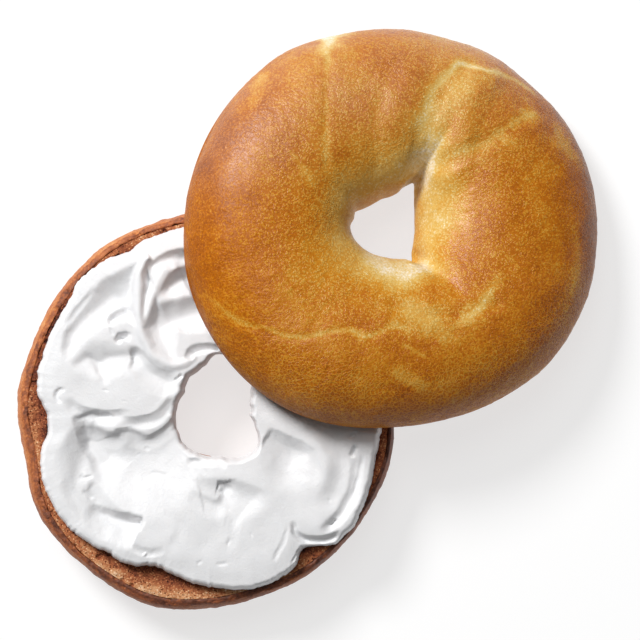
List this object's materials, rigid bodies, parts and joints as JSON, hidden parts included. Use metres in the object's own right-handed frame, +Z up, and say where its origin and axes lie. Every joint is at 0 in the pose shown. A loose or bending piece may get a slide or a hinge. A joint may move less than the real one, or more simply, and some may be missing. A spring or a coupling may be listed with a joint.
{
  "type": "bagel",
  "caption": "Bagel sliced in two: the toasted base half spread with soft white cheese, the golden top half leaning on it.",
  "frame": {"origin": "middle of the area that the two halves cover on the table, at table height", "axes": "+Z up; the base half lies towards -X and -Y, and the top half leans on it towards +X and +Y"},
  "size_m": [0.155, 0.155, 0.0444],
  "materials": {
    "toasted_crust": "toasted bread: brown chewy crust, drier and darker than the top half's, and a porous browned cut face",
    "soft_cheese": "soft white cheese spread with a knife: smooth, faintly moist, light passes a little way in",
    "golden_crust": "boiled and baked dough: thin golden-brown skin with fine blisters and a satin shine"
  },
  "bodies": {
    "root": {"base_half": "toasted_crust", "cream_cheese": "soft_cheese", "top_half": "golden_crust"}
  },
  "joints": []
}
